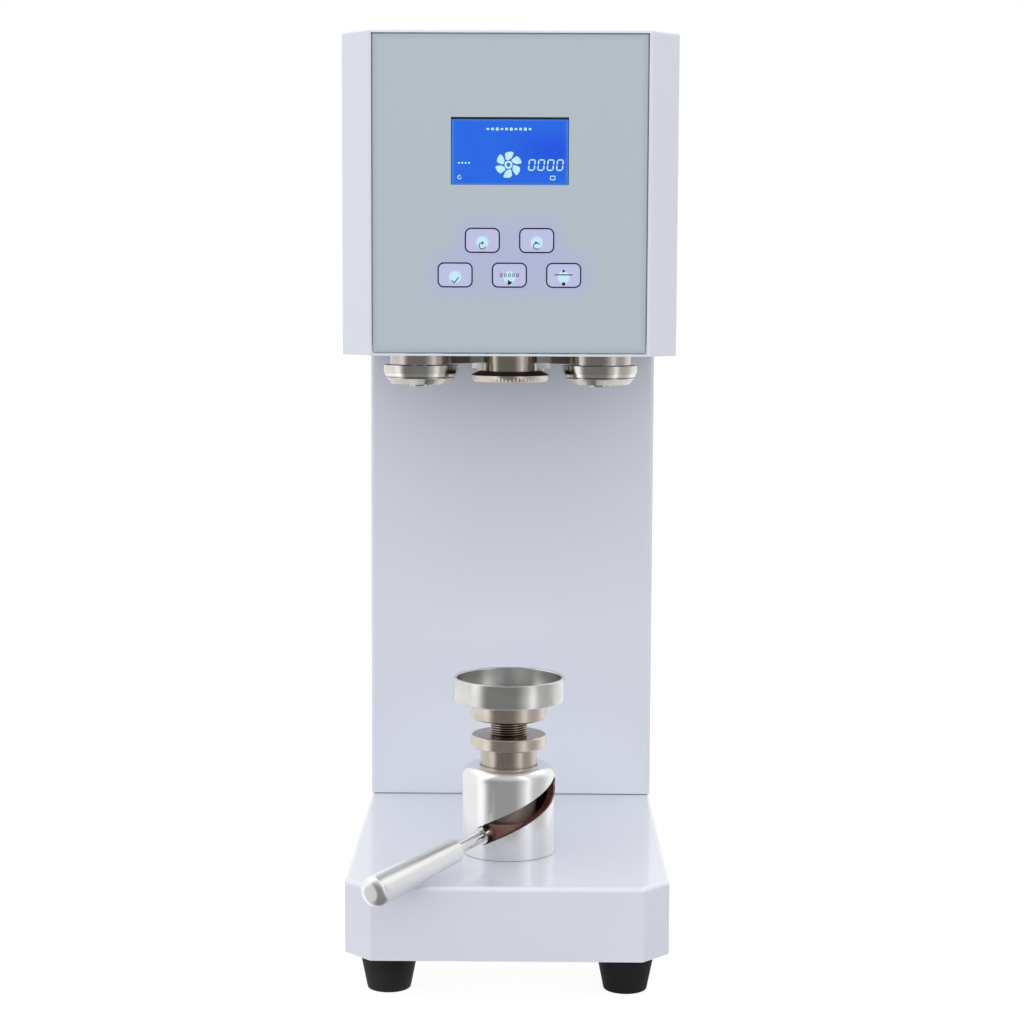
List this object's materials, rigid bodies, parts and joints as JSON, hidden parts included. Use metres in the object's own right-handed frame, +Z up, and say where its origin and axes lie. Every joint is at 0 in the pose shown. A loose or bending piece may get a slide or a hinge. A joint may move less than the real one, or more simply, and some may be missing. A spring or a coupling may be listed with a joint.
{
  "type": "can seamer",
  "caption": "Bench-top can seamer: a lever-raised can seat lifts a can to a driven chuck while two roller arms swing in from the sides to close its lid.",
  "frame": {"origin": "the point on the table right under the axis of chuck, ram and can seat", "axes": "+Z up along that axis, +X to the operator's right, +Y from the operator to the rear"},
  "size_m": [0.2032, 0.4068, 0.5873],
  "materials": {
    "white_paint": "gloss",
    "zinc_plate": "zinc plated",
    "rubber": "matte",
    "dark_screws": "blackened",
    "black_plastic": "satin",
    "silver_case": "satin",
    "panel_glass": "back-painted glass, gloss",
    "circuit_board": "satin",
    "bearing_steel": "ground",
    "motor_black": "satin",
    "steel": "machined",
    "nickel": "nickel plated",
    "grey_arms": "satin",
    "satin_aluminium": "satin",
    "chrome": "polished"
  },
  "bodies": {
    "frame": {"base_cover": "white_paint", "base_plate": "zinc_plate", "rubber_feet": "rubber", "foot_screws": "dark_screws", "column_cover": "white_paint", "column_frame": "zinc_plate", "frame_bolts": "dark_screws", "back_panel": "white_paint", "cover_screws": "dark_screws", "power_inlet": "black_plastic", "power_switch_frame": "black_plastic", "power_supply": "silver_case", "head_cover": "white_paint", "head_plate": "zinc_plate", "glass_panel": "panel_glass", "panel_tray": "zinc_plate", "display_module": "black_plastic", "touch_board": "circuit_board", "control_board": "circuit_board", "board_posts": "steel", "spindle_bearings": "bearing_steel", "spindle_housing": "silver_case", "drive_motor": "motor_black", "motor_plate": "zinc_plate", "motor_struts": "zinc_plate", "arm_pivot_pins": "steel", "first_cam_motor": "motor_black", "second_cam_motor": "motor_black", "lift_deck": "zinc_plate", "guide_key": "steel", "lift_housing": "satin_aluminium", "lift_housing_screws": "dark_screws"},
    "spindle": {"seaming_chuck": "nickel", "chuck_bolt": "dark_screws", "chuck_spindle": "nickel", "shaft_coupling": "steel", "motor_shaft": "steel"},
    "first_arm": {"first_arm": "grey_arms", "first_roller_pin": "nickel"},
    "first_roller": {"first_roller": "nickel"},
    "first_follower": {"first_cam_follower": "bearing_steel"},
    "first_cam": {"first_cam": "steel", "first_cam_shaft": "steel"},
    "second_arm": {"second_arm": "grey_arms", "second_roller_pin": "nickel"},
    "second_roller": {"second_roller": "nickel"},
    "second_follower": {"second_cam_follower": "bearing_steel"},
    "second_cam": {"second_cam": "steel", "second_cam_shaft": "steel"},
    "ram": {"ram": "nickel", "sleeve_retainer": "steel", "lock_nut": "nickel"},
    "lever": {"lever_sleeve": "steel", "lever_rod": "chrome", "lever_grip": "satin_aluminium"},
    "seat_carrier": {"seat_bearing": "bearing_steel"},
    "adjust_screw": {"adjust_screw": "nickel"},
    "can_seat": {"can_seat": "satin_aluminium"},
    "rocker": {"power_switch_rocker": "black_plastic"}
  },
  "joints": [
    {"name": "spindle_spin", "type": "hinge", "parent": "frame", "child": "spindle", "pos_m": [0, 0, 0.3818], "axis": [0, 0, 1], "continuous": true},
    {"name": "ram_lift", "type": "slide", "parent": "frame", "child": "ram", "axis": [0, 0, 1], "range_m": [0, 0.0275]},
    {"name": "lever_turn", "type": "hinge", "parent": "ram", "child": "lever", "pos_m": [0, 0, 0.0878], "axis": [0, 0, 1], "range_deg": [0, 110]},
    {"name": "seat_height", "type": "slide", "parent": "ram", "child": "seat_carrier", "axis": [0, 0, 1], "range_m": [-0.006, 0.012]},
    {"name": "screw_turn", "type": "hinge", "parent": "seat_carrier", "child": "adjust_screw", "pos_m": [0, 0, 0.1318], "axis": [0, 0, 1], "range_deg": [-1440, 2880]},
    {"name": "seat_spin", "type": "hinge", "parent": "seat_carrier", "child": "can_seat", "pos_m": [0, 0, 0.1768], "axis": [0, 0, 1], "continuous": true},
    {"name": "rocker_tilt", "type": "hinge", "parent": "frame", "child": "rocker", "pos_m": [0.038, 0.27, 0.1093], "axis": [1, 0, 0], "range_deg": [0, 20]},
    {"name": "first_cam_turn", "type": "hinge", "parent": "frame", "child": "first_cam", "pos_m": [-0.03648, 0.10289, 0.3978], "axis": [0, 0, 1], "range_deg": [0, 150]},
    {"name": "first_arm_swing", "type": "hinge", "parent": "frame", "child": "first_arm", "pos_m": [-0.0135, 0.042, 0.3938], "axis": [0, 0, 1], "range_deg": [0, 11]},
    {"name": "first_roller_spin", "type": "hinge", "parent": "first_arm", "child": "first_roller", "pos_m": [-0.0565, 0, 0.3818], "axis": [0, 0, 1], "continuous": true},
    {"name": "first_follower_spin", "type": "hinge", "parent": "first_arm", "child": "first_follower", "pos_m": [-0.051, 0.092, 0.3978], "axis": [0, 0, 1], "continuous": true},
    {"name": "second_cam_turn", "type": "hinge", "parent": "frame", "child": "second_cam", "pos_m": [0.03648, 0.10289, 0.3978], "axis": [0, 0, -1], "range_deg": [0, 150]},
    {"name": "second_arm_swing", "type": "hinge", "parent": "frame", "child": "second_arm", "pos_m": [0.0135, 0.042, 0.3938], "axis": [0, 0, -1], "range_deg": [0, 11]},
    {"name": "second_roller_spin", "type": "hinge", "parent": "second_arm", "child": "second_roller", "pos_m": [0.0565, 0, 0.3818], "axis": [0, 0, 1], "continuous": true},
    {"name": "second_follower_spin", "type": "hinge", "parent": "second_arm", "child": "second_follower", "pos_m": [0.051, 0.092, 0.3978], "axis": [0, 0, 1], "continuous": true}
  ],
  "couplings": [
    {"joint": "ram_lift", "follows": "lever_turn", "m_per_rad": 0.014324},
    {"joint": "seat_height", "follows": "screw_turn", "m_per_rad": 0.00023873},
    {"joint": "first_arm_swing", "follows": "first_cam_turn", "ratio": 0.073333},
    {"joint": "second_arm_swing", "follows": "second_cam_turn", "ratio": 0.073333}
  ]
}
